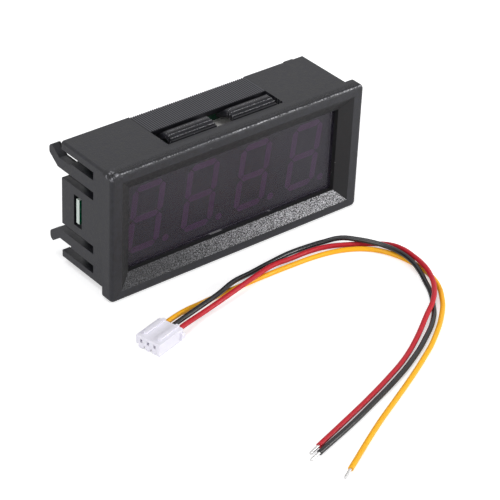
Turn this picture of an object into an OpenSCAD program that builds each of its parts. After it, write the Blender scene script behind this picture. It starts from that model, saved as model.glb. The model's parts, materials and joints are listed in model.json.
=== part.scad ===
// Four-digit LED panel meter with snap-in case and loose three-wire lead.
// Millimetres. X runs along the display, Y runs from the bezel (-Y) to the open back, Z is up.
// The origin is under the middle of the meter, on the surface that it stands on.

/* [Case] */
// Width of the bezel
bezel_w = 60; // [54:0.5:66]
// Height of the bezel
bezel_h = 27.5; // [26.5:0.5:32]
// Depth of the bezel's flange
bezel_t = 2.8; // [2.2:0.1:3.2]
// Corner radius of the bezel
bezel_r = 1; // [0.9:0.1:2]
// Radius along the bezel's front edge
front_r = 0.7; // [0.3:0.1:0.8]
// Step from the bezel's edge in to the body
lip = 1; // [0.8:0.1:1.4]
// Depth from the bezel's front to the body's open back
case_depth = 17; // [16:0.5:20]
// Upper and lower walls of the body
wall = 1.2; // [1:0.1:1.4]
// Side walls of the body
side_wall = 1.7; // [1.4:0.1:1.8]
// Corner radius of the body
body_r = 0.5; // [0.3:0.1:1]

/* [Window] */
// Width of the flat band beside the window
side_band = 2.4; // [2:0.1:3]
// Height of the flat bands above and below the window
level_band = 2.05; // [1.8:0.05:2.6]
// How far the sloping edge spreads on each side
bevel_run = 2.6; // [1.5:0.1:3]
// Depth of the sloping edge
bevel_t = 1.5; // [1:0.1:1.8]
// Depth from the bezel's front to the filter
filter_y = 2.5; // [2.2:0.1:2.7]
// Thickness of the filter
filter_t = 1; // [0.8:0.1:1.2]
// Overlap of the filter behind the window's edge
filter_lap = 1; // [0.6:0.1:1.2]

/* [Clips] */
// Width of the opening that holds two clips
opening_w = 27.5; // [26:0.5:32]
// Length of that opening, front to back
opening_l = 5.7; // [5.2:0.1:6.5]
// Front edge of that opening, from the bezel's front
opening_y = 4.8; // [4.4:0.1:5.4]
// Gap between the two clips of an opening
middle_gap = 4.2; // [3:0.2:6]
// Gap between a clip and the end of its opening
clip_gap = 1.35; // [0.5:0.05:1.6]
// Thickness of a clip at its root
clip_t = 1; // [0.8:0.1:1.1]
// Height of the clip's ridge above the body
clip_rise = 0.9; // [0.5:0.05:0.95]
// Distance from the opening's front edge to the ridge
ridge_y = 2.5; // [2.2:0.1:2.8]
// Rounding at the ends of the ridge
ridge_r = 0.7; // [0.3:0.1:0.9]
// Number of steps that grip the panel
clip_steps = 4; // [2:1:5]

/* [Grip] */
// Spacing of the fine ribs behind each opening
rib_pitch = 0.5; // [0.4:0.05:1]
// Depth of the grooves between the ribs
rib_depth = 0.3; // [0.15:0.05:0.3]

/* [Sides] */
// Height of each side slot
slot_h = 1.75; // [1:0.05:1.8]
// Front end of the side slots, from the bezel's front
slot_y = 7; // [6:0.1:9]
// Height from the middle to the outer slots
slot_outer = 10.15; // [10:0.05:10.3]
// Height from the middle to the inner slots
slot_inner = 5.85; // [5.6:0.05:6]
// How far the hooks reach behind the body
hook_reach = 4; // [3:0.5:6]
// How far the hooks flare outwards
hook_flare = 1.85; // [1:0.05:2]
// Thickness of the hooks
hook_t = 1.9; // [1.8:0.1:2.2]
// Height of a hook's arm behind the step in its edge
arm_h = 2.1; // [1.8:0.1:2.2]
// Length of the board window in each side
board_window_l = 2.5; // [2.2:0.1:3]
// Height of the board window
board_window_h = 6.6; // [6.2:0.1:7.6]

/* [Display] */
// Depth of the display block
display_t = 8; // [7:0.1:8.4]
// Clear height above and below the digits in the window
digit_margin = 2; // [1.5:0.1:3]
// Width of a segment
segment_w = 1.35; // [1:0.05:1.6]
// Gap at the end of a segment
segment_gap = 0.15; // [0.1:0.05:0.3]
// Depth of the resin in a segment
segment_t = 0.5; // [0.3:0.1:0.8]
// Lean of the digits in degrees
digit_lean = 7; // [0:1:10]
// Diameter of a decimal point
point_d = 1.5; // [1:0.1:1.7]
// Distance of the rows of pins from the display's long edges
row_inset = 1.88; // [1.5:0.02:2.5]
// Diameter of a pin
pin_d = 0.5; // [0.4:0.05:0.6]

/* [Board] */
// Thickness of the circuit board
board_t = 1; // [0.8:0.1:1.2]
// Clearance round the board inside the case
board_gap = 0.2; // [0.1:0.05:0.4]
// Height of the board's side tabs
tab_h = 5.2; // [4:0.2:6]
// Diameter of the trimmer's rotor
rotor_d = 2.8; // [2.2:0.1:3.2]
// Width of the square trimmer body
trimmer_w = 4.2; // [4:0.1:5]
// Height of the trimmer body above the board
trimmer_h = 1.8; // [1.5:0.1:2.4]

/* [Lead] */
// Spacing of the wires in the plug
way_pitch = 1.5; // [1.3:0.1:1.5]
// Width of the plug
plug_w = 5.4; // [5.2:0.1:6]
// Height of the plug
plug_h = 3; // [2.9:0.1:3.3]
// Length of the plug
plug_l = 6.8; // [6:0.1:7.5]
// Outside diameter of a wire
wire_d = 1; // [0.8:0.05:1]
// Diameter of the stripped and tinned ends
strand_d = 0.55; // [0.4:0.05:0.7]
// Length of the stripped and tinned ends
strand_l = 2.6; // [2:0.1:5]

/* [Hidden] */
$fn = 48;
eps = 0.01;

body_w = bezel_w - 2 * lip;
body_h = bezel_h - 2 * lip;
inner_w = body_w - 2 * side_wall;
inner_h = body_h - 2 * wall;
total_depth = case_depth + hook_reach;
front_wall = filter_y + filter_t;
fit_gap = 0.1;
window_w = bezel_w - 2 * (side_band + bevel_run);
window_h = bezel_h - 2 * (level_band + bevel_run);
display_w = window_w + 0.3;
display_h = window_h + 0.8;
digit_pitch = (window_w + 0.8) / 4;
digit_h = window_h - 2 * digit_margin;
digit_w = 0.53 * digit_h;
pin_pitch = digit_pitch / 5;
row_pitch = display_h - 2 * row_inset;
pin_tail = 1.2;
solder_d = 1.4;
solder_h = 0.7;
opening_end = opening_y + opening_l;
display_end = front_wall + display_t;
board_back = display_end + board_t;
board_w = inner_w - 2 * board_gap;
board_h = inner_h - 2 * board_gap;
tab_reach = body_w / 2 - fit_gap;
grip_drop = 0.05;
stop_rib_w = 1.2;
stop_rib_inset = 5.8;
stop_rib_x = inner_w / 2 - stop_rib_inset;
stop_rib_h = (inner_h - display_h) / 2 - board_gap - 0.7;
clip_w = (opening_w - middle_gap) / 2 - clip_gap;
root_drop = 0.25;
ridge_l = 0.5;
hook_foot = 1.3;
arm_l = 2.8;
arm_low = slot_inner + slot_h / 2;

// Places of the parts on the back of the board: [across, up], measured from its ends or middle
board_end = board_w / 2;
board_top = board_h / 2;
header_at = [board_end - 8.1, 7.35 - board_top];
controller_at = [-11, 0.4];
regulator_at = [board_end - 7.5, board_top - 5.75];
diode_at = [board_end - 15.5, 5.95 - board_top];
trimmer_at = [5.6 - board_end, board_top - 5.15];
capacitor_at = [[board_end - 15.7, 3.2], [board_end - 15.7, 0.4]];
resistor_at = [[-2.6, 3.6], [-2.6, 1.4], [-2.6, -0.8], [-2.6, -3],
    [5.5 - board_end, -0.6], [5.5 - board_end, -3]];
regulator_size = [4.5, 2.5, 1.4];
diode_size = [4.2, 2.6, 2];

header_wall = 0.6;
header_gap = 0.1;
header_w = plug_w + 2 * (header_gap + header_wall);
header_h = plug_h + 2 * (header_gap + header_wall);
header_l = 4.6;
header_floor = 1.2;
header_pin_w = 0.4;

// The plug lies flat, its wire end turned towards the right
plug_at = [-30, -25.4];
plug_turn = 15;
way_rise = 0.2;
wire_start_z = plug_h / 2 + way_rise;
cavity_w = 0.9;
cavity_h = 1.1;
cavity_gap = 0.05;
pin_hole_w = 0.5;
pin_hole_h = 0.7;
rail_w = 0.7;
rail_h = 0.4;
leg_w = 0.6;
lobe_d = 1.2;
flange_l = 0.7;
flange_out = 0.6;
flange_low = 0.5;
flange_h = 1.4;
flange_r = 0.4;
tube_sides = 8;

// Routes of the wires, from just behind the plug to the stripped ends
route_yellow = [[-20.8, -21.2, 1.1], [-16.6, -20.4, 0.5], [-12, -20.2, 0.5], [-7.2, -20.2, 0.5],
    [-1, -20.2, 0.5], [6, -20.4, 0.5], [10.5, -20.7, 0.5], [14.5, -21.4, 0.5],
    [17.8, -22.6, 0.5], [20.5, -24.3, 0.5], [22.4, -26.4, 0.5], [23.7, -29, 0.5],
    [24.5, -32, 0.5], [24.8, -35.2, 0.5], [24.5, -38.6, 0.5], [23.3, -42, 0.5],
    [21.1, -45.3, 0.5], [18.5, -48.2, 0.5], [10.6, -54.3, 0.5], [4.7, -57.7, 0.5],
    [-0.5, -60.4, 0.5], [-6.9, -63.5, 0.5], [-13.8, -66.8, 0.5], [-26.1, -73.4, 0.5]];
route_black = [[-18.2, -22.4, 1.7], [-13.3, -21.1, 1.6], [-8.2, -19.4, 1.5], [-3.2, -18, 0.6],
    [3, -17.2, 0.5], [7.3, -16.9, 0.5], [11.1, -17.1, 0.5], [15.2, -18, 0.8],
    [18.1, -19.7, 1.5], [20.3, -22.1, 1.6], [22, -24.5, 1.6], [23.2, -27, 1.6],
    [23.9, -29.8, 1.6], [24, -33, 1.5], [23.4, -36.3, 1.1], [22.2, -39.5, 0.6],
    [20.9, -42.2, 0.5], [18.8, -45.2, 0.5], [15.6, -48.9, 0.5], [9.1, -53.4, 0.5],
    [2.9, -56.7, 0.5], [-3, -59.2, 0.5], [-10.6, -61.9, 0.5], [-17.6, -64.2, 0.5],
    [-27.5, -67, 0.5]];
route_red = [[-19, -23.8, 1.2], [-13.9, -22.8, 1.4], [-8.7, -21.7, 1.6], [-3.4, -20.4, 1.6],
    [1.4, -19.2, 1.3], [6.6, -18.5, 0.5], [10.8, -18.6, 0.5], [14.7, -19.3, 0.5],
    [18.1, -20.8, 0.5], [21.1, -22.6, 0.5], [23.4, -24.5, 0.7], [24.7, -26.9, 1.2],
    [25.2, -29.9, 1.6], [25.2, -32.9, 1.6], [24.7, -36.2, 1.6], [23.5, -39.4, 1.6],
    [21.3, -42.8, 1.6], [17.9, -46.1, 1.6], [14.4, -48.3, 1.2], [7.9, -52.4, 0.5],
    [2.1, -55.6, 0.5], [-3.7, -58, 0.5], [-10.9, -60.6, 0.5], [-17.4, -62.7, 0.5],
    [-26.4, -65.5, 0.5]];

// ---- Helpers ----

// Moves to the middle of the bezel's front, with depth along +Y
module on_meter() {
    translate([0, -total_depth / 2, bezel_h / 2]) children();
}

// Box of a width, depth and height, centred across and up, starting at depth y
module slab(w, y, depth, h) {
    translate([-w / 2, y, -h / 2]) cube([w, depth, h]);
}

module rounded_rect(w, h, r) {
    square([w - 2 * r, h], center = true);
    square([w, h - 2 * r], center = true);
    for (x = [-1, 1])
        for (y = [-1, 1])
            translate([x * (w / 2 - r), y * (h / 2 - r)]) circle(r);
}

// Prism of a front outline, from depth y for a length
module prism_back(y, length) {
    translate([0, y + length, 0]) rotate([90, 0, 0]) linear_extrude(length) children();
}

// Prism of a side outline drawn as [depth, height], for a width centred on x
module prism_across(x, width) {
    translate([x - width / 2, 0, 0]) rotate([90, 0, 90]) linear_extrude(width) children();
}

// Mirrors to above and below, and to left and right
module both_heights() {
    for (s = [0, 1]) mirror([0, 0, s]) children();
}

module both_sides() {
    for (s = [0, 1]) mirror([s, 0, 0]) children();
}

// ---- Case ----

module bezel_post() {
    rotate([-90, 0, 0]) rotate_extrude($fn = 32) polygon(concat([[0, 0]],
        [for (a = [0:22.5:90]) [bezel_r - front_r + front_r * sin(a), front_r - front_r * cos(a)]],
        [[bezel_r, bezel_t], [0, bezel_t]]));
}

module bezel_block() {
    hull()
        for (x = [-1, 1])
            for (z = [-1, 1])
                translate([x * (bezel_w / 2 - bezel_r), 0, z * (bezel_h / 2 - bezel_r)])
                    bezel_post();
}

// The sloping edge of the window is where two wedges meet
module window_wedge(size) {
    polygon([[-size / 2 - bevel_run - eps * bevel_run / bevel_t, -eps],
        [size / 2 + bevel_run + eps * bevel_run / bevel_t, -eps],
        [size / 2, bevel_t], [-size / 2, bevel_t]]);
}

module window_bevel() {
    intersection() {
        translate([0, 0, -bezel_h / 2]) linear_extrude(bezel_h) window_wedge(window_w);
        translate([-bezel_w / 2, 0, 0]) rotate([0, 90, 0]) linear_extrude(bezel_w)
            window_wedge(window_h);
    }
}

module window_cut() {
    window_bevel();
    slab(window_w, bevel_t - eps, filter_y, window_h);
    slab(window_w + 2 * (filter_lap + fit_gap), filter_y, filter_t + eps,
        window_h + 2 * (filter_lap + fit_gap));
}

// Cut through a side wall from depth y for a length, between two heights
module side_cut(y, length, low, high) {
    translate([body_w / 2 - side_wall - eps, y, low]) cube([side_wall + lip, length, high - low]);
}

module side_slot(height) {
    side_cut(slot_y, case_depth, height - slot_h / 2, height + slot_h / 2);
}

// Step in the hook arm's outer edge
module arm_step() {
    side_cut(case_depth - arm_l, case_depth, arm_low + arm_h, slot_outer);
}

module board_window() {
    side_cut((display_end + board_back - board_window_l) / 2 - fit_gap, board_window_l,
        -board_window_h / 2, board_window_h / 2);
}

// Grooves of the grip zone: a row of V cuts under a shallow recess
module grip_cut() {
    count = floor(opening_w / rib_pitch);
    start = -count * rib_pitch / 2;
    crest = body_h / 2 - grip_drop;
    outline = concat([[start, body_h], [start, crest]],
        [for (i = [0:count - 1]) each [[start + (i + 0.5) * rib_pitch, crest - rib_depth],
            [start + (i + 1) * rib_pitch, crest]]],
        [[-start, body_h]]);
    prism_back(opening_end - eps, case_depth) polygon(outline);
}

module clip_opening() {
    translate([-opening_w / 2, opening_y, inner_h / 2 - eps]) cube([opening_w, opening_l, wall + lip]);
}

// Side outline of one clip: steps that grip the panel, a ridge and a sloping tail
module clip_outline() {
    root = body_h / 2 - root_drop;
    ridge = body_h / 2 + clip_rise;
    tail = inner_h / 2 - 0.35;
    foot = opening_y - 0.4;
    step_l = ridge_y / (clip_steps + 0.3);
    rise = (ridge - root) / clip_steps;
    polygon(concat(
        [[foot, root - clip_t], [foot, root]],
        [for (i = [0:clip_steps - 1]) each [
            [opening_y + (i + 0.5) * step_l, root + i * rise],
            [opening_y + (i + 0.6) * step_l, root + (i + 1) * rise]]],
        [[opening_y + ridge_y + ridge_l, ridge],
         [opening_end + 0.2, tail],
         [opening_end, tail - clip_t / 2],
         [opening_end - 0.4, tail - clip_t / 2],
         [opening_y + ridge_y, ridge - clip_t - 0.35]]));
}

// Front outline that rounds the ends of a clip's ridge
module clip_front(height) {
    translate([0, body_h / 2 + clip_rise - height / 2]) rounded_rect(clip_w, height, ridge_r);
}

module clip() {
    translate([(middle_gap + clip_w) / 2, 0, 0]) intersection() {
        prism_across(0, clip_w) clip_outline();
        prism_back(opening_y - 1, opening_l + 2) clip_front(body_h / 4);
    }
}

// Rear hook: the arm between two slots, flaring outwards behind the body to a rounded tip
module hook_outline() {
    bend = case_depth + hook_foot;
    tip = case_depth + hook_reach;
    top = arm_low + hook_flare;
    polygon([[case_depth - arm_l, arm_low], [bend, arm_low], [tip - 0.1, top], [tip, top + 0.4],
        [tip, top + 1.2], [tip - 0.15, top + 1.55], [tip - 0.4, top + 1.8], [tip - 0.9, top + 2],
        [bend - 0.5, arm_low + arm_h], [case_depth - arm_l, arm_low + arm_h]]);
}

module housing() {
    color("#3b3a3f") on_meter() {
        difference() {
            union() {
                bezel_block();
                prism_back(bezel_t / 2, case_depth - bezel_t / 2) rounded_rect(body_w, body_h, body_r);
            }
            window_cut();
            slab(inner_w, front_wall, case_depth, inner_h);
            both_heights() clip_opening();
            both_heights() grip_cut();
            both_sides() both_heights() side_slot(slot_outer);
            both_sides() both_heights() side_slot(slot_inner);
            both_sides() both_heights() arm_step();
            both_sides() board_window();
        }
        both_sides() both_heights() clip();
        both_sides() both_heights()
            prism_across((body_w - hook_t) / 2, hook_t) hook_outline();
        both_sides() both_heights()
            translate([stop_rib_x, front_wall - eps, inner_h / 2 - stop_rib_h])
                cube([stop_rib_w, display_t + eps, stop_rib_h + eps]);
    }
}

module filter() {
    color("#2a2630") on_meter()
        slab(window_w + 2 * filter_lap, filter_y, filter_t, window_h + 2 * filter_lap);
}

// ---- Display ----

function lean(p) = [p.x + p.y * tan(digit_lean), p.y];

// Six-sided segment between two corners of the digit
function segment_points(p, q) =
    let (u = (q - p) / norm(q - p),
        n = [-u.y, u.x] * segment_w / 2,
        a = p + u * segment_gap,
        b = q - u * segment_gap,
        s = u * segment_w / 2)
    [a, a + s + n, b - s + n, b, b - s - n, a + s - n];

// Half sizes of the digit's centre lines
digit_x = (digit_w - segment_w) / 2;
digit_z = (digit_h - segment_w) / 2;
segment_ends = [[[-digit_x, digit_z], [digit_x, digit_z]], [[digit_x, digit_z], [digit_x, 0]],
    [[digit_x, 0], [digit_x, -digit_z]], [[-digit_x, -digit_z], [digit_x, -digit_z]],
    [[-digit_x, 0], [-digit_x, -digit_z]], [[-digit_x, digit_z], [-digit_x, 0]],
    [[-digit_x, 0], [digit_x, 0]]];

module digit_outline() {
    for (e = segment_ends)
        polygon([for (p = segment_points(e[0], e[1])) lean(p)]);
    translate([digit_w / 2 + point_d / 2 + 0.1, -digit_z]) circle(d = point_d);
}

module digit(n) {
    color("#4e3c52") on_meter()
        translate([(n - 2.5) * digit_pitch - point_d / 3, 0, 0])
            prism_back(front_wall, segment_t) digit_outline();
}

module display_shell() {
    color("#b4b1ae") on_meter() difference() {
        slab(display_w, front_wall, display_t, display_h);
        for (n = [1:4])
            translate([(n - 2.5) * digit_pitch - point_d / 3, 0, 0])
                prism_back(front_wall - eps, segment_t + eps) digit_outline();
    }
}

// Runs its children at each of the display's twelve pins
module each_pin() {
    for (i = [0:5])
        for (z = [-1, 1])
            translate([(i - 2.5) * pin_pitch, 0, z * row_pitch / 2]) children();
}

module display_pins() {
    color("silver") on_meter() each_pin() {
        translate([0, display_end, 0]) rotate([-90, 0, 0])
            cylinder(d = pin_d, h = board_t + pin_tail);
        translate([0, board_back, 0]) rotate([-90, 0, 0])
            cylinder(d1 = solder_d, d2 = pin_d, h = solder_h);
    }
}

// ---- Board ----

module board() {
    color("#00683f") on_meter() difference() {
        union() {
            slab(board_w, display_end, board_t, board_h);
            slab(2 * tab_reach, display_end, board_t, tab_h);
        }
        each_pin() translate([0, display_end - eps, 0]) rotate([-90, 0, 0])
            cylinder(d = pin_d + 0.2, h = board_t + 2 * eps);
    }
}

// Moves to a place on the back of the board
module on_board(at) {
    on_meter() translate([at.x, board_back, at.y]) children();
}

// Box standing on the board, centred on its place
module chip(w, h, t) {
    translate([-w / 2, 0, -h / 2]) cube([w, t, h]);
}

module header_shroud() {
    color("ivory") on_board(header_at) difference() {
        chip(header_w, header_h, header_floor + header_l);
        translate([0, header_floor, 0])
            chip(header_w - 2 * header_wall, header_h - 2 * header_wall, header_l + eps);
        for (x = [-1, 1])
            translate([x * way_pitch, header_floor + 1, header_h / 2 - header_wall])
                chip(rail_w + 2 * header_gap, 3 * header_wall, header_l);
        for (k = [-1:1])
            translate([k * way_pitch - header_pin_w / 2 - 0.02, -eps, -header_h])
                cube([header_pin_w + 0.04, header_floor + 2 * eps,
                    header_h + way_rise + header_pin_w / 2]);
    }
}

module header_pins() {
    color("silver") on_board(header_at) for (k = [-1:1])
        translate([k * way_pitch, 0, way_rise]) {
            chip(header_pin_w, header_pin_w, header_floor + header_l - 1.4);
            translate([0, 0, -header_h / 4 - 0.5])
                chip(header_pin_w, header_h / 2 + 1, header_pin_w / 2);
        }
}

controller_w = 9.9;
controller_h = 3.9;
controller_t = 1.5;
lead_pitch = 1.27;

module controller() {
    color("#232326") on_board(controller_at) difference() {
        translate([0, 0.15, 0]) chip(controller_w, controller_h, controller_t);
        translate([-controller_w / 2 + 1, controller_t, controller_h / 2 - 1])
            rotate([-90, 0, 0]) cylinder(d = 0.8, h = 1);
    }
}

module controller_leads() {
    color("silver") on_board(controller_at)
        for (i = [0:7])
            both_heights() translate([(i - 3.5) * lead_pitch, 0, 0]) {
                translate([0, 0, controller_h / 2 + 0.75]) chip(0.4, 0.7, 0.2);
                translate([0, 0, controller_h / 2 + 0.3]) chip(0.4, 0.3, 0.95);
                translate([0, 0.75, controller_h / 2 + 0.1]) chip(0.4, 0.2, 0.2);
            }
}

module regulator() {
    color("#26262a") on_board(regulator_at) translate([0, 0.2, 0])
        chip(regulator_size.x, regulator_size.y, regulator_size.z);
}

module regulator_leads() {
    color("silver") on_board(regulator_at) {
        chip(1.6, 2.3, 0.2);
        translate([0, 0, 1.65]) chip(1.8, 1, 0.2);
        for (k = [-1:1]) translate([k * way_pitch, 0, -1.55]) chip(0.5, 0.9, 0.2);
    }
}

module diode() {
    color("#2b2b2e") on_board(diode_at) {
        translate([0, 0.1, 0]) chip(diode_size.x, diode_size.y, diode_size.z);
        for (s = [-1, 1]) translate([s * diode_size.x * 0.52, 0, 0]) chip(0.9, 1.4, 0.5);
    }
}

module capacitor(n) {
    color("#b08a5e") on_board(capacitor_at[n - 1]) chip(3.2, 1.6, 1.5);
}

module resistor(n) {
    color("#1f1f22") on_board(resistor_at[n - 1]) chip(2, 1.25, 0.5);
}

trimmer_floor = 0.5;
rotor_gap = 0.05;
rotor_proud = 0.3;

module trimmer_body() {
    color("#2c62b5") on_board(trimmer_at) difference() {
        chip(trimmer_w, trimmer_w, trimmer_h);
        translate([0, trimmer_floor, 0]) rotate([-90, 0, 0])
            cylinder(d = rotor_d + 2 * rotor_gap, h = trimmer_h);
    }
}

module trimmer_rotor() {
    color("#e9e5da") on_board(trimmer_at) difference() {
        translate([0, trimmer_floor, 0]) rotate([-90, 0, 0])
            cylinder(d = rotor_d, h = trimmer_h - trimmer_floor + rotor_proud);
        translate([0, trimmer_h + rotor_proud - 0.6, 0]) {
            chip(rotor_d * 0.7, 0.5, 1);
            chip(0.5, rotor_d * 0.7, 1);
        }
    }
}

// ---- Lead ----

// Moves to the middle of the plug's underside, with its wire end along +X
module on_plug() {
    translate([plug_at.x, plug_at.y, 0]) rotate([0, 0, plug_turn]) children();
}

module plug_bar(x, length, w, z, h) {
    translate([x, -w / 2, z]) cube([length, w, h]);
}

// Guide rail on the plug's deck, rounded at its front end
module plug_rail(front, length, h) {
    plug_bar(front, length, rail_w, 0, h);
    translate([front, 0, 0]) cylinder(d = rail_w, h = h);
}

module plug_housing() {
    front = -plug_l / 2;
    deck = plug_h - rail_h;
    belly = 0.8;
    front_wall_t = 0.8;
    color("#eeecf6") on_plug() difference() {
        union() {
            plug_bar(front, plug_l, plug_w, belly, deck - belly);
            translate([0, (leg_w - plug_w) / 2, 0]) plug_bar(front, plug_l, leg_w, 0, deck);
            translate([0, (plug_w - leg_w) / 2, 0]) plug_bar(0, plug_l / 2, leg_w, 0, deck);
            for (s = [-1, 1])
                translate([0, s * (plug_w / 2 - rail_w * 1.6), deck - eps])
                    plug_rail(front + 1.4, plug_l - 1.4, rail_h + eps);
            for (k = [-1:1])
                translate([front, k * way_pitch, lobe_d / 2]) rotate([0, 90, 0])
                    cylinder(d = lobe_d, h = plug_l * 0.8);
            translate([plug_l / 2 - flange_l, 0, flange_low + flange_h / 2]) rotate([90, 0, 90])
                linear_extrude(flange_l)
                    rounded_rect(plug_w + 2 * flange_out, flange_h, flange_r);
        }
        for (k = [-1:1])
            translate([0, k * way_pitch, wire_start_z]) {
                plug_bar(front + front_wall_t, plug_l, cavity_w + 2 * cavity_gap,
                    -cavity_h / 2 - cavity_gap, cavity_h + 2 * cavity_gap);
                plug_bar(front - eps, plug_l / 2, pin_hole_w, -header_pin_w, pin_hole_h);
            }
    }
}

// Crimped box contact, open at the front for its pin
module terminal(n) {
    back = plug_l / 2;
    depth = plug_l - 1.2;
    color("silver") on_plug() translate([0, (2 - n) * way_pitch, wire_start_z]) difference() {
        translate([back - depth, -cavity_w / 2, -cavity_h / 2]) cube([depth, cavity_w, cavity_h]);
        translate([back - depth - eps, -header_pin_w / 2 - 0.05, -header_pin_w / 2 - 0.05])
            cube([3.4, header_pin_w + 0.1, header_pin_w + 0.1]);
    }
}

// Point on the lead of one way, at a distance behind the plug
function behind_plug(way, distance) =
    let (x = plug_l / 2 + distance, y = (2 - way) * way_pitch)
    [plug_at.x + x * cos(plug_turn) - y * sin(plug_turn),
     plug_at.y + x * sin(plug_turn) + y * cos(plug_turn), wire_start_z];

function wire_path(way, route) = concat([behind_plug(way, 0), behind_plug(way, 2.4)], route);

function unit(v) = v / norm(v);

// Direction of a path at a point
function heading(path, i) =
    i == 0 ? unit(path[1] - path[0]) :
    i == len(path) - 1 ? unit(path[i] - path[i - 1]) :
    unit(unit(path[i + 1] - path[i]) + unit(path[i] - path[i - 1]));

// Ring of a tube, square to the heading
function tube_ring(centre, dir, r) =
    let (side = unit(cross(dir, [0, 0, 1])), up = cross(side, dir), step = 360 / tube_sides)
    [for (k = [0.5:tube_sides]) centre + r * (cos(step * k) * side + sin(step * k) * up)];

module tube(path, d) {
    last = len(path) - 1;
    points = [for (i = [0:last]) each tube_ring(path[i], heading(path, i), d / 2)];
    n = tube_sides;
    sides = [for (i = [0:last - 1]) for (k = [0:n - 1])
        [n * i + k, n * i + (k + 1) % n, n * (i + 1) + (k + 1) % n, n * (i + 1) + k]];
    ends = [[for (k = [n - 1:-1:0]) k], [for (k = [0:n - 1]) n * last + k]];
    polyhedron(points = points, faces = concat(sides, ends));
}

// Tinned strands, straight on from the end of a wire
module strands(path) {
    last = path[len(path) - 1];
    dir = heading(path, len(path) - 1);
    translate(last) rotate([0, 0, atan2(dir.y, dir.x)]) rotate([0, 90, 0])
        cylinder(d = strand_d, h = strand_l, $fn = 24);
}

module wire_yellow() {
    color("#f9b62c") tube(wire_path(1, route_yellow), wire_d);
}

module wire_black() {
    color("#26252a") tube(wire_path(2, route_black), wire_d);
}

module wire_red() {
    color("#d42a38") tube(wire_path(3, route_red), wire_d);
}

module strands_yellow() {
    color("silver") strands(route_yellow);
}

module strands_black() {
    color("silver") strands(route_black);
}

module strands_red() {
    color("silver") strands(route_red);
}

housing();
filter();
display_shell();
digit(1);  // digit_1
digit(2);  // digit_2
digit(3);  // digit_3
digit(4);  // digit_4
display_pins();
board();
header_shroud();
header_pins();
controller();
controller_leads();
regulator();
regulator_leads();
diode();
capacitor(1);  // capacitor_1
capacitor(2);  // capacitor_2
resistor(1);  // resistor_1
resistor(2);  // resistor_2
resistor(3);  // resistor_3
resistor(4);  // resistor_4
resistor(5);  // resistor_5
resistor(6);  // resistor_6
trimmer_body();
trimmer_rotor();
plug_housing();
terminal(1);  // terminal_1
terminal(2);  // terminal_2
terminal(3);  // terminal_3
wire_yellow();
wire_black();
wire_red();
strands_yellow();
strands_black();
strands_red();
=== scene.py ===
"""Looks of a snap-in LED panel meter and its loose three-wire lead. Metres, in the CAD frame."""

import json
import math
from types import SimpleNamespace

import bpy
from mathutils import Matrix, Vector


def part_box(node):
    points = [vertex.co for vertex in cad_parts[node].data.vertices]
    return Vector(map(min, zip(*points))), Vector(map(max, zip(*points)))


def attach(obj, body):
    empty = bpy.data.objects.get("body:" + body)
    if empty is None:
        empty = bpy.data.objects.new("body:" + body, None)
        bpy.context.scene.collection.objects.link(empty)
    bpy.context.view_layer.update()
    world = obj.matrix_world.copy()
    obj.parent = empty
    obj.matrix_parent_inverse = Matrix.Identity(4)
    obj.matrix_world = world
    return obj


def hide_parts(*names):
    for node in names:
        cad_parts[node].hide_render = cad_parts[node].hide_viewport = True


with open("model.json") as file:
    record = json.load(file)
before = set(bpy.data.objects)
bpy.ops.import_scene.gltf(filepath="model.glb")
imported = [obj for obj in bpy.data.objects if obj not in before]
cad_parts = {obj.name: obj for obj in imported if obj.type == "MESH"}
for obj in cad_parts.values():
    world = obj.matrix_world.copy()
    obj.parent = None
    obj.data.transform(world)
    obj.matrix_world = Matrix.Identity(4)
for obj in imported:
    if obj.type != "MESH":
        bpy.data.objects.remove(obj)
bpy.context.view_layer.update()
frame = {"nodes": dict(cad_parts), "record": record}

NODES = frame["nodes"]
MM = 0.001

# ---------------------------------------------------------------- places taken from the frame

CASE_LOW, CASE_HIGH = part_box("housing")
FILTER_LOW, FILTER_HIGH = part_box("filter")
BOARD_LOW, BOARD_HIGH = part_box("board")
DISPLAY_LOW, DISPLAY_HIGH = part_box("display_shell")
BEZEL_FRONT = CASE_LOW.y
CASE_MIDDLE = (CASE_LOW + CASE_HIGH) / 2

# Lengths of the moulding, as the part's source has them. Depths are counted from the bezel's front
BEZEL_LIP = 1 * MM
FILTER_LAP = 1 * MM
SLOPE_RUN = 2.6 * MM
SLOPE_DEPTH = 1.5 * MM
CLIP_START = 4.8 * MM
GRIP_START = 10.5 * MM
WINDOW_HALF_W = FILTER_HIGH.x - FILTER_LAP
WINDOW_HALF_H = (FILTER_HIGH.z - FILTER_LOW.z) / 2 - FILTER_LAP
BODY_HALF_H = (CASE_HIGH.z - CASE_LOW.z) / 2 - BEZEL_LIP

# Reach and spacing of the painted highlights on the grip's ribs and the clips, which are only coloured
# in.
# The painted highlight lines on the clips are further apart than the clips' own steps
HIGHLIGHTS_HALF_W = 13.8 * MM
CLIP_HIGHLIGHTS_RUN = 2.6 * MM
CLIP_HIGHLIGHT_PITCH = 0.8 * MM

# ---------------------------------------------------------------- camera

VIEW_AZIMUTH = 40.37
VIEW_ELEVATION = 33.2
VIEW_ROLL = 2.7
VIEW_DISTANCE = 0.4388
VIEW_TARGET = Vector((0.01174, -0.00028, -0.00926))
LENS = 157.8
SENSOR = 36


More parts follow.
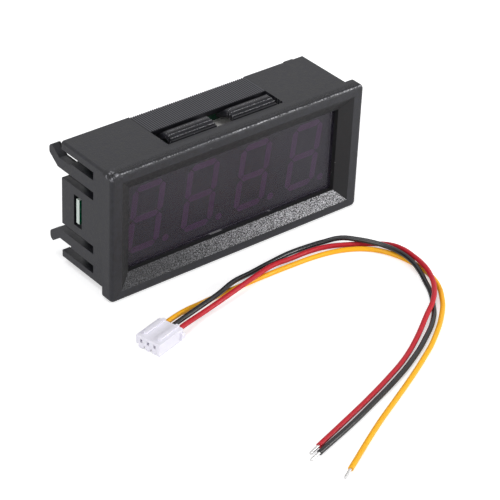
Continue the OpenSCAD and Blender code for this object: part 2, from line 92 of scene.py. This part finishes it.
def add_camera():
    """Camera that looks down at the meter's front left corner."""
    az, el, roll = (math.radians(a) for a in (VIEW_AZIMUTH, VIEW_ELEVATION, VIEW_ROLL))
    forward = Vector((math.sin(az) * math.cos(el), math.cos(az) * math.cos(el), -math.sin(el)))
    right = Vector((math.cos(az), -math.sin(az), 0))
    up = right.cross(forward)
    turned_right = right * math.cos(roll) + up * math.sin(roll)
    turned_up = up * math.cos(roll) - right * math.sin(roll)
    matrix = Matrix((turned_right, turned_up, -forward)).transposed().to_4x4()
    matrix.translation = VIEW_TARGET - forward * VIEW_DISTANCE
    data = bpy.data.cameras.new("camera")
    data.lens = LENS
    data.sensor_width = SENSOR
    data.clip_start = 0.01
    data.clip_end = 20
    camera = bpy.data.objects.new("camera", data)
    camera.matrix_world = matrix
    bpy.context.scene.collection.objects.link(camera)
    bpy.context.scene.camera = camera


add_camera()

# ---------------------------------------------------------------- wires

WIRE_D = 1.0 * MM

# Plug and its three ways, in millimetres, as the part's source has them
PLUG_MIDDLE = (-30, -25.4)
PLUG_TURN = math.radians(15)
PLUG_HALF = 3.4
WAY_PITCH = 1.5
WIRE_START_Z = 1.7
STRAIGHT_RUN = 2.4

# Points each wire passes through, in millimetres, from just behind the plug to its bare end
ROUTES = {
    "yellow": [
        (-20.8, -21.2, 1.1), (-16.6, -20.4, 0.5), (-12, -20.2, 0.5), (-7.2, -20.2, 0.5),
        (-1, -20.2, 0.5), (6, -20.4, 0.5), (10.5, -20.7, 0.5), (14.5, -21.4, 0.5),
        (17.8, -22.6, 0.5), (20.5, -24.3, 0.5), (22.4, -26.4, 0.5), (23.7, -29, 0.5),
        (24.5, -32, 0.5), (24.8, -35.2, 0.5), (24.5, -38.6, 0.5), (23.3, -42, 0.5),
        (21.1, -45.3, 0.5), (18.5, -48.2, 0.5), (10.6, -54.3, 0.5), (4.7, -57.7, 0.5),
        (-0.5, -60.4, 0.5), (-6.9, -63.5, 0.5), (-13.8, -66.8, 0.5), (-26.1, -73.4, 0.5),
    ],
    "black": [
        (-18.2, -22.4, 1.7), (-13.3, -21.1, 1.6), (-8.2, -19.4, 1.5), (-3.2, -18, 0.6),
        (3, -17.2, 0.5), (7.3, -16.9, 0.5), (11.1, -17.1, 0.5), (15.2, -18, 0.8),
        (18.1, -19.7, 1.5), (20.3, -22.1, 1.6), (22, -24.5, 1.6), (23.2, -27, 1.6),
        (23.9, -29.8, 1.6), (24, -33, 1.5), (23.4, -36.3, 1.1), (22.2, -39.5, 0.6),
        (20.9, -42.2, 0.5), (18.8, -45.2, 0.5), (15.6, -48.9, 0.5), (9.1, -53.4, 0.5),
        (2.9, -56.7, 0.5), (-3, -59.2, 0.5), (-10.6, -61.9, 0.5), (-17.6, -64.2, 0.5),
        (-27.5, -67, 0.5),
    ],
    "red": [
        (-19, -23.8, 1.2), (-13.9, -22.8, 1.4), (-8.7, -21.7, 1.6), (-3.4, -20.4, 1.6),
        (1.4, -19.2, 1.3), (6.6, -18.5, 0.5), (10.8, -18.6, 0.5), (14.7, -19.3, 0.5),
        (18.1, -20.8, 0.5), (21.1, -22.6, 0.5), (23.4, -24.5, 0.7), (24.7, -26.9, 1.2),
        (25.2, -29.9, 1.6), (25.2, -32.9, 1.6), (24.7, -36.2, 1.6), (23.5, -39.4, 1.6),
        (21.3, -42.8, 1.6), (17.9, -46.1, 1.6), (14.4, -48.3, 1.2), (7.9, -52.4, 0.5),
        (2.1, -55.6, 0.5), (-3.7, -58, 0.5), (-10.9, -60.6, 0.5), (-17.4, -62.7, 0.5),
        (-26.4, -65.5, 0.5),
    ],
}
WAYS = {"yellow": 1, "black": 0, "red": -1}


def behind_plug(way, distance):
    """Point on a way's line, the given millimetres behind the plug."""
    along = PLUG_HALF + distance
    across = way * WAY_PITCH
    x = PLUG_MIDDLE[0] + along * math.cos(PLUG_TURN) - across * math.sin(PLUG_TURN)
    y = PLUG_MIDDLE[1] + along * math.sin(PLUG_TURN) + across * math.cos(PLUG_TURN)
    return (x, y, WIRE_START_Z)


def add_wire(colour):
    """One insulated wire: a smooth curve through its points, with a round section.

    The half thickness is each knot's own radius, so the curve's bounds stay the wire's.
    """
    way = WAYS[colour]
    points = [behind_plug(way, 0), behind_plug(way, STRAIGHT_RUN)] + ROUTES[colour]
    curve = bpy.data.curves.new("insulation_" + colour, "CURVE")
    curve.dimensions = "3D"
    curve.bevel_depth = 1.0
    curve.bevel_resolution = 5
    curve.resolution_u = 8
    curve.use_fill_caps = True
    spline = curve.splines.new("BEZIER")
    spline.bezier_points.add(len(points) - 1)
    for knot, place in zip(spline.bezier_points, points):
        knot.co = Vector(place) * MM
        knot.radius = WIRE_D / 2
        knot.handle_left_type = knot.handle_right_type = "AUTO"
    wire = bpy.data.objects.new("insulation_" + colour, curve)
    bpy.context.scene.collection.objects.link(wire)
    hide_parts("wire_" + colour)
    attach(wire, "meter")
    return wire


wires = {colour: add_wire(colour) for colour in ROUTES}

# ---------------------------------------------------------------- shader helpers


def srgb(text):
    """Linear colour from a hex string."""
    values = [int(text[i : i + 2], 16) / 255 for i in (0, 2, 4)]
    return tuple(v / 12.92 if v <= 0.04045 else ((v + 0.055) / 1.055) ** 2.4 for v in values) + (1,)


class Tree:
    """Short calls for adding and joining shader nodes."""

    def __init__(self, tree):
        self.tree = tree

    def add(self, kind, **values):
        """A new node with its settings."""
        node = self.tree.nodes.new(kind)
        for name, value in values.items():
            setattr(node, name, value)
        return node

    def join(self, source, target):
        """Links an output to a socket."""
        self.tree.links.new(source, target)

    def put(self, target, value):
        """Sets a socket to a number or colour, or links an output to it."""
        if isinstance(value, bpy.types.NodeSocket):
            self.join(value, target)
        else:
            target.default_value = value

    def math(self, operation, a, b=0.0):
        """One sum, difference, comparison or the like of two values."""
        node = self.add("ShaderNodeMath", operation=operation)
        self.put(node.inputs[0], a)
        self.put(node.inputs[1], b)
        return node.outputs[0]

    def times(self, *values):
        """Product of two or more values."""
        product = values[0]
        for value in values[1:]:
            product = self.math("MULTIPLY", product, value)
        return product

    def band(self, value, *edges):
        """One between the middle two of four edges, and fading to nothing at the outer two."""
        start, full, fading, end = edges
        return self.times(self.ramp(value, start, full), self.ramp(value, fading, end, 1.0, 0.0))

    def ramp(self, value, low, high, out_low=0.0, out_high=1.0):
        """Smooth step of a value from low to high."""
        node = self.add("ShaderNodeMapRange", interpolation_type="SMOOTHSTEP")
        self.put(node.inputs["Value"], value)
        limits = {"From Min": low, "From Max": high, "To Min": out_low, "To Max": out_high}
        for name, number in limits.items():
            self.put(node.inputs[name], number)
        return node.outputs["Result"]

    def mix(self, factor, a, b):
        """Blend of two colours."""
        node = self.add("ShaderNodeMix", data_type="RGBA")
        self.put(node.inputs["Factor"], factor)
        self.put(node.inputs[6], a)
        self.put(node.inputs[7], b)
        return node.outputs[2]

    def noise(self, scale, detail=2.0, roughness=0.5):
        """Cloudy noise in the piece's own coordinates."""
        node = self.add("ShaderNodeTexNoise")
        self.put(node.inputs["Scale"], scale)
        node.inputs["Detail"].default_value = detail
        node.inputs["Roughness"].default_value = roughness
        self.join(self.place(), node.inputs["Vector"])
        return node.outputs[0]

    def place(self):
        """The object coordinates."""
        return self.add("ShaderNodeTexCoord").outputs["Object"]

    def axes(self):
        """The three object coordinates as separate outputs."""
        split = self.add("ShaderNodeSeparateXYZ")
        self.join(self.place(), split.inputs[0])
        return split.outputs

    def group(self, group, **values):
        """A node group with its own values."""
        node = self.add("ShaderNodeGroup", node_tree=group)
        for name, value in values.items():
            self.put(node.inputs[name.replace("_", " ")], value)
        return node.outputs

    def bump(self, height, distance, strength):
        """Normals of a relief that is distance deep."""
        node = self.add("ShaderNodeBump")
        node.inputs["Strength"].default_value = strength
        node.inputs["Distance"].default_value = distance
        self.join(height, node.inputs["Height"])
        return node.outputs[0]


def new_group(name, inputs, outputs):
    """A shader node group with named number sockets, and its input and output nodes."""
    group = bpy.data.node_groups.new(name, "ShaderNodeTree")
    for label, default in inputs.items():
        socket = group.interface.new_socket(label, in_out="INPUT", socket_type="NodeSocketFloat")
        socket.default_value = default
    for label in outputs:
        group.interface.new_socket(label, in_out="OUTPUT", socket_type="NodeSocketFloat")
    tree = Tree(group)
    return group, tree, tree.add("NodeGroupInput").outputs, tree.add("NodeGroupOutput").inputs


def make_moulded_grain():
    """Spark-eroded grain of a moulded surface: fine pits over slow, shallow waves."""
    group, tree, given, result = new_group("moulded grain", {"Scale": 5000}, ["Height", "Tone"])
    fine = tree.noise(given["Scale"], 3.0, 0.6)
    slow = tree.noise(260.0, 2.0)
    height = tree.math("ADD", fine, tree.times(slow, 0.25))
    tree.join(height, result["Height"])
    tree.join(tree.ramp(fine, 0.35, 0.7), result["Tone"])
    return group


def make_dust():
    """Mask of small specks, few and uneven."""
    group, tree, given, result = new_group("dust", {"Scale": 900, "Amount": 0.5}, ["Mask"])
    cells = tree.add("ShaderNodeTexVoronoi", feature="F1")
    tree.join(tree.place(), cells.inputs["Vector"])
    tree.put(cells.inputs["Scale"], given["Scale"])
    speck = tree.ramp(cells.outputs["Distance"], 0.04, 0.1, 1.0, 0.0)
    chosen = tree.add("ShaderNodeSeparateColor")
    tree.join(cells.outputs["Color"], chosen.inputs[0])
    rare = tree.math("LESS_THAN", chosen.outputs[0], tree.times(given["Amount"], 0.25))
    faint = tree.ramp(chosen.outputs[1], 0.0, 1.0, 0.15, 1.0)
    tree.join(tree.times(speck, rare, faint), result["Mask"])
    return group


GRAIN = make_moulded_grain()
DUST = make_dust()


def new_material(name, roughness=0.5, **sockets):
    """A material with one Principled shader, its tree helper and that shader's inputs."""
    material = bpy.data.materials.new(name)
    material.use_nodes = True
    tree = Tree(material.node_tree)
    shader = material.node_tree.nodes["Principled BSDF"]
    shader.inputs["Roughness"].default_value = roughness
    for label, value in sockets.items():
        shader.inputs[label.replace("_", " ")].default_value = value
    return material, tree, shader.inputs


def dress(material, *pieces):
    """Gives pieces a material as their only one."""
    for piece in pieces:
        piece.data.materials.clear()
        piece.data.materials.append(material)


# ---------------------------------------------------------------- materials


def case_zones(tree):
    """Where a point of the case lies, with masks of the window's slopes and its recess."""
    x, y, z = tree.axes()
    across = tree.math("ABSOLUTE", x)
    level = tree.math("SUBTRACT", z, CASE_MIDDLE.z)
    upward = tree.math("ABSOLUTE", level)
    depth = tree.math("SUBTRACT", y, BEZEL_FRONT)
    rim_room = 0.03 * MM
    in_window = tree.times(
        tree.math("LESS_THAN", across, WINDOW_HALF_W + SLOPE_RUN - rim_room),
        tree.math("LESS_THAN", upward, WINDOW_HALF_H + SLOPE_RUN - rim_room),
    )
    behind_slope = tree.math("GREATER_THAN", depth, SLOPE_DEPTH - 0.01 * MM)
    slope = tree.times(in_window, tree.math("SUBTRACT", 1.0, behind_slope))
    below_window = tree.math("LESS_THAN", level, 0.05 * MM - WINDOW_HALF_H)
    past_side = tree.math("SUBTRACT", across, WINDOW_HALF_W)
    past_foot = tree.math("SUBTRACT", upward, WINDOW_HALF_H)
    inside_mitre = tree.math("LESS_THAN", past_side, past_foot)
    return SimpleNamespace(
        x=x,
        z=z,
        across=across,
        upward=upward,
        depth=depth,
        slope=slope,
        lower_slope=tree.times(slope, below_window, inside_mitre),
        recess=tree.times(in_window, behind_slope),
    )


def grip_crest_highlights(tree, zone):
    """Mask of the crests of the grip's fine ribs, where a highlight is painted."""
    return tree.times(
        tree.math("LESS_THAN", zone.across, HIGHLIGHTS_HALF_W),
        tree.ramp(zone.upward, BODY_HALF_H - 0.28 * MM, BODY_HALF_H - 0.12 * MM),
        tree.math("GREATER_THAN", zone.depth, GRIP_START),
        tree.ramp(zone.upward, BODY_HALF_H - 0.03 * MM, BODY_HALF_H - 0.01 * MM, 1.0, 0.0),
    )


def clip_highlight_lines(tree, zone):
    """Mask of dotted painted highlight lines across the stepped part of the clips."""
    from_start = tree.math("SUBTRACT", zone.depth, CLIP_START)
    wave = tree.math("SINE", tree.times(from_start, math.tau / CLIP_HIGHLIGHT_PITCH))
    return tree.times(
        tree.math("GREATER_THAN", zone.depth, CLIP_START),
        tree.math("LESS_THAN", zone.depth, CLIP_START + CLIP_HIGHLIGHTS_RUN),
        tree.math("LESS_THAN", zone.across, HIGHLIGHTS_HALF_W),
        tree.math("GREATER_THAN", zone.upward, BODY_HALF_H - 1.1 * MM),
        tree.ramp(wave, 0.72, 0.95),
        tree.ramp(tree.noise(6400.0, 2.0, 0.6), 0.5, 0.57),
    )


def edge_wear_and_highlight(tree, zone):
    """Masks of the upper front edge: its line worn by rubbing and coloured as a painted highlight, the
    scuffs on it and the pits behind it.
    """
    near_top = tree.ramp(zone.z, CASE_HIGH.z - 0.6 * MM, CASE_HIGH.z - 0.4 * MM)
    line = tree.band(zone.depth, 0.1 * MM, 0.2 * MM, 0.26 * MM, 0.36 * MM)
    broken = tree.ramp(tree.noise(2600.0, 3.0, 0.6), 0.42, 0.6, 0.05, 1.0)
    patchy = tree.ramp(tree.noise(170.0, 2.0), 0.35, 0.6, 0.3, 1.0)
    rubbed_highlight = tree.times(line, near_top, broken, patchy)

    left_end = tree.ramp(zone.x, CASE_LOW.x + 0.2 * MM, CASE_LOW.x + 3.2 * MM, 1.0, 0.0)
    share = tree.math("ADD", tree.times(left_end, 0.7), 0.04)
    near_lip = tree.ramp(zone.z, CASE_HIGH.z - 1.5 * MM, CASE_HIGH.z - 0.3 * MM)
    on_bezel = tree.ramp(zone.depth, 1.6 * MM, 2.6 * MM, 1.0, 0.0)
    scratches = tree.ramp(tree.noise(1300.0, 4.0, 0.7), 0.54, 0.62)
    scuffed = tree.times(share, near_lip, on_bezel, scratches)

    behind_line = tree.band(zone.depth, 0.3 * MM, 0.5 * MM, 1.0 * MM, 2.2 * MM)
    pits = tree.ramp(tree.noise(5200.0, 3.0, 0.7), 0.46, 0.58)
    pitted = tree.times(behind_line, near_top, pits)
    return rubbed_highlight, scuffed, pitted


def case_plastic():
    """Black ABS: fine moulded grain, a coarse-grained lower slope with painted glints, painted highlight
    lines on the clips and rib crests, a top edge worn by rubbing, with its line painted as a highlight.
    """
    material, tree, shader = new_material("case_plastic", 0.5, Specular_IOR_Level=0.4)
    zone = case_zones(tree)
    rubbed_highlight, scuffed, pitted = edge_wear_and_highlight(tree, zone)
    grain = tree.group(GRAIN, Scale=3600.0)
    dust = tree.group(DUST, Scale=800.0, Amount=0.4)["Mask"]
    coarse = tree.noise(5400.0, 2.0, 0.65)
    mottle = tree.ramp(tree.noise(1300.0, 3.0, 0.6), 0.3, 0.7)

    # Painted glints on the lower slope: pale specks that brighten towards the right, where the light
    # glints off it
    painted_glint_tone = tree.mix(tree.ramp(zone.x, -22 * MM, 24 * MM), srgb("58585c"), srgb("d6d6da"))
    painted_sparkle = tree.mix(tree.ramp(coarse, 0.44, 0.6), srgb("0c0c0e"), painted_glint_tone)
    colour = tree.mix(mottle, srgb("101014"), srgb("1f1f26"))
    for mask, tone in (
        (zone.slope, srgb("0b0b0e")),
        (zone.lower_slope, painted_sparkle),
        (zone.recess, srgb("0a0a0d")),
        # Painted highlight on the crests of the grip's ribs
        (grip_crest_highlights(tree, zone), srgb("5b5b60")),
        (tree.times(pitted, 0.85), srgb("040405")),
        # Line worn by rubbing on the upper front edge, coloured as a painted highlight of the edge's
        # glint
        (rubbed_highlight, srgb("b4b4b8")),
        (scuffed, srgb("9c9ca1")),
        # Painted highlights in dotted lines across the clips' steps
        (clip_highlight_lines(tree, zone), srgb("bcbcc1")),
        (tree.times(dust, 0.4), srgb("c9c8c6")),
    ):
        colour = tree.mix(mask, colour, tone)
    tree.join(colour, shader["Base Color"])

    rough = tree.ramp(mottle, 0.0, 1.0, 0.42, 0.52)
    rough = tree.math("SUBTRACT", rough, tree.times(zone.lower_slope, 0.16))
    dull = tree.math("MAXIMUM", zone.recess, pitted)
    tree.join(tree.math("ADD", rough, tree.times(dull, 0.4)), shader["Roughness"])

    outside_recess = tree.math("SUBTRACT", 1.0, zone.recess)
    fine_height = tree.times(grain["Height"], outside_recess)
    coarse_height = tree.times(coarse, zone.lower_slope, 6.0)
    height = tree.math("ADD", fine_height, coarse_height)
    tree.join(tree.bump(height, 0.05 * MM, 0.8), shader["Normal"])
    return material


def smoked_filter():
    """Smoked acrylic with a fine satin skin and a few dust specks; nearly half the light passes."""
    material, tree, shader = new_material("smoked_filter", 0.44, Alpha=0.56, IOR=1.72)
    dust = tree.group(DUST, Scale=700.0, Amount=0.6)["Mask"]
    tint = tree.mix(tree.noise(180.0, 3.0), srgb("1f1a28"), srgb("251e2f"))
    tree.join(tree.mix(tree.times(dust, 0.5), tint, srgb("c8c4ca")), shader["Base Color"])
    tree.join(tree.bump(tree.noise(1500.0, 2.0), 0.004 * MM, 0.4), shader["Normal"])
    return material


def display_plastic():
    """Display block: white reflector shell, its face painted near-black."""
    material, tree, shader = new_material("display_plastic", 0.5)
    grain = tree.group(GRAIN, Scale=3000.0)
    x, y, z = tree.axes()
    bare_rim = 0.08 * MM
    half_h = (DISPLAY_HIGH.z - DISPLAY_LOW.z) / 2
    from_middle = tree.math("ABSOLUTE", tree.math("SUBTRACT", z, CASE_MIDDLE.z))
    painted = tree.times(
        tree.math("LESS_THAN", tree.math("ABSOLUTE", x), DISPLAY_HIGH.x - bare_rim),
        tree.math("LESS_THAN", from_middle, half_h - bare_rim),
        tree.math("LESS_THAN", y, DISPLAY_LOW.y + 0.7 * MM),
    )
    shell = tree.mix(grain["Tone"], srgb("dfdcda"), srgb("ebe9e6"))
    tree.join(tree.mix(painted, shell, srgb("18171b")), shader["Base Color"])
    tree.join(tree.bump(grain["Height"], 0.03 * MM, 0.4), shader["Normal"])
    return material


def segment_resin():
    """Violet diffusing resin of an unlit segment."""
    material, tree, shader = new_material("segment_resin", 0.35)
    cloud = tree.noise(900.0, 3.0)
    tree.join(tree.mix(cloud, srgb("884090"), srgb("944a9c")), shader["Base Color"])
    return material


def board_laminate():
    """Green solder mask over copper tracks, with pale glass-fibre edges."""
    material, tree, shader = new_material("board_laminate", 0.28, Coat_Weight=0.3)
    x, y, z = tree.axes()
    middle = (BOARD_LOW.y + BOARD_HIGH.y) / 2
    half = (BOARD_HIGH.y - BOARD_LOW.y) / 2
    from_middle = tree.math("ABSOLUTE", tree.math("SUBTRACT", y, middle))
    face = tree.ramp(from_middle, half - 0.06 * MM, half - 0.03 * MM)
    tracks = tree.add("ShaderNodeTexBrick", offset=0.37, squash=1.4)
    swap = tree.add("ShaderNodeCombineXYZ")
    tree.join(x, swap.inputs[0])
    tree.join(z, swap.inputs[1])
    tree.join(swap.outputs[0], tracks.inputs["Vector"])
    tracks.inputs["Scale"].default_value = 190.0
    tracks.inputs["Mortar Size"].default_value = 0.035
    tracks.inputs["Mortar Smooth"].default_value = 0.2
    green = tree.mix(tree.noise(120.0, 2.0), srgb("003f29"), srgb("004c31"))
    mask = tree.mix(tracks.outputs["Fac"], green, srgb("0b5a3c"))
    fibre = tree.mix(tree.noise(2600.0, 2.0), srgb("bccac4"), srgb("d3ddd6"))
    tree.join(tree.mix(face, fibre, mask), shader["Base Color"])
    tree.join(tree.bump(tracks.outputs["Fac"], 0.03 * MM, 0.5), shader["Normal"])
    return material


def tinned_metal():
    """Bright tin plate with soft uneven reflections."""
    material, tree, shader = new_material("tinned_metal", 0.28, Metallic=1.0)
    cloud = tree.noise(2200.0, 3.0)
    tree.join(tree.mix(cloud, srgb("c8c8c8"), srgb("e6e5e3")), shader["Base Color"])
    tree.join(tree.ramp(cloud, 0.2, 0.8, 0.2, 0.42), shader["Roughness"])
    tree.join(tree.bump(cloud, 0.04 * MM, 0.5), shader["Normal"])
    return material


def plain_plastic(name, low, high, roughness):
    """A moulded plastic between two close tones."""
    material, tree, shader = new_material(name, roughness)
    grain = tree.group(GRAIN, Scale=3200.0)
    tree.join(tree.mix(grain["Tone"], srgb(low), srgb(high)), shader["Base Color"])
    tree.join(tree.bump(grain["Height"], 0.02 * MM, 0.4), shader["Normal"])
    return material


def connector_nylon():
    """White nylon: faintly cool, slightly translucent, waxy."""
    material, tree, shader = new_material(
        "connector_nylon",
        0.42,
        Subsurface_Weight=0.5,
        Subsurface_Radius=(1.0, 1.0, 1.0),
        Subsurface_Scale=0.3 * MM,
    )
    cloud = tree.noise(500.0, 2.0)
    dust = tree.group(DUST, Scale=900.0, Amount=0.15)["Mask"]
    nylon = tree.mix(cloud, srgb("e9e7f2"), srgb("f1eff9"))
    tree.join(tree.mix(dust, nylon, srgb("9a979e")), shader["Base Color"])
    tree.join(tree.bump(tree.group(GRAIN, Scale=2600.0)["Height"], 0.02 * MM, 0.3), shader["Normal"])
    return material


def insulation(name, low, high, roughness=0.4, shine=0.3):
    """Soft PVC with a satin skin and slow tone changes along its length."""
    material, tree, shader = new_material(name, roughness, Specular_IOR_Level=shine)
    cloud = tree.noise(300.0, 3.0)
    dust = tree.group(DUST, Scale=1100.0, Amount=0.2)["Mask"]
    skin = tree.mix(cloud, srgb(low), srgb(high))
    tree.join(tree.mix(tree.times(dust, 0.6), skin, srgb("cfcac4")), shader["Base Color"])
    tree.join(tree.ramp(cloud, 0.2, 0.8, roughness - 0.08, roughness + 0.08), shader["Roughness"])
    tree.join(tree.bump(tree.noise(3500.0, 2.0), 0.015 * MM, 0.5), shader["Normal"])
    return material


SLOT_MATERIALS = {
    "case_plastic": case_plastic(),
    "smoked_filter": smoked_filter(),
    "display_plastic": display_plastic(),
    "segment_resin": segment_resin(),
    "board_laminate": board_laminate(),
    "tinned_metal": tinned_metal(),
    "connector_nylon": connector_nylon(),
    "chip_plastic": plain_plastic("chip_plastic", "1c1c1e", "29292c", 0.5),
    "chip_ceramic": plain_plastic("chip_ceramic", "a07c50", "b8925f", 0.45),
    "resistor_coat": plain_plastic("resistor_coat", "151517", "222226", 0.25),
    "trimmer_plastic": plain_plastic("trimmer_plastic", "2857a5", "3263b8", 0.4),
    "rotor_plastic": plain_plastic("rotor_plastic", "ded9cc", "efebe0", 0.45),
    "yellow_insulation": insulation("yellow_insulation", "f4ab12", "ffb91f"),
    "black_insulation": insulation("black_insulation", "0e0e11", "18181c", 0.24, 0.5),
    "red_insulation": insulation("red_insulation", "b41a28", "c2212f"),
}

for part in frame["record"]["subparts"]:
    dress(SLOT_MATERIALS[part["material_slot"]], NODES[part["node"]])
for colour, wire in wires.items():
    dress(SLOT_MATERIALS[colour + "_insulation"], wire)

# ---------------------------------------------------------------- studio


def seen_rays(tree):
    """Masks of rays that see a surface straight, mirrored or through a clear piece, and of the first."""
    path = tree.add("ShaderNodeLightPath").outputs
    seen = tree.math("MAXIMUM", path["Is Camera Ray"], path["Is Glossy Ray"])
    return tree.math("MAXIMUM", seen, path["Is Transmission Ray"]), path["Is Camera Ray"]


def add_floor():
    """Pale floor that reads white where it is lit and keeps the soft shadow."""
    bpy.ops.object.select_all(action="DESELECT")
    bpy.ops.mesh.primitive_plane_add(size=6, location=(0, 0, -0.02 * MM))
    floor = bpy.context.object
    floor.name = "floor"
    material, tree, shader = new_material("floor_paint", 0.9, Specular_IOR_Level=0.0)
    shader["Base Color"].default_value = (0.86, 0.86, 0.87, 1)
    shader["Emission Color"].default_value = (1, 1, 1, 1)
    seen, straight = seen_rays(tree)
    glow = tree.math("ADD", tree.times(seen, 0.3), tree.times(straight, 0.2))
    tree.join(glow, shader["Emission Strength"])
    dress(material, floor)


def add_world():
    """Soft surround: dim for light, white where it is seen directly or mirrored."""
    world = bpy.data.worlds.new("studio")
    world.use_nodes = True
    bpy.context.scene.world = world
    tree = Tree(world.node_tree)
    background = world.node_tree.nodes["Background"]
    background.inputs["Color"].default_value = (1, 1, 1, 1)
    seen, _ = seen_rays(tree)
    tree.join(tree.ramp(seen, 0.0, 1.0, 0.45, 1.0), background.inputs["Strength"])


def add_lamp(name, azimuth, elevation, distance, size, power):
    """Square softbox that faces the meter. Azimuth is counted like the camera's."""
    az, el = math.radians(azimuth), math.radians(elevation)
    away = Vector((-math.sin(az) * math.cos(el), -math.cos(az) * math.cos(el), math.sin(el)))
    data = bpy.data.lights.new(name, "AREA")
    data.shape = "SQUARE"
    data.size = size
    data.energy = power
    lamp = bpy.data.objects.new(name, data)
    lamp.location = CASE_MIDDLE + away * distance
    lamp.rotation_euler = (-away).to_track_quat("-Z", "Y").to_euler()
    bpy.context.scene.collection.objects.link(lamp)


add_floor()
add_world()
add_lamp("top_softbox", azimuth=120, elevation=78, distance=1.1, size=0.55, power=2.7)
add_lamp("left_softbox", azimuth=72, elevation=22, distance=1.2, size=0.7, power=4.6)
add_lamp("low_softbox", azimuth=-37, elevation=17, distance=0.3, size=0.1, power=0.4)
add_lamp("front_softbox", azimuth=0, elevation=10, distance=1.0, size=0.4, power=0.9)
bpy.context.scene.view_settings.view_transform = "Standard"
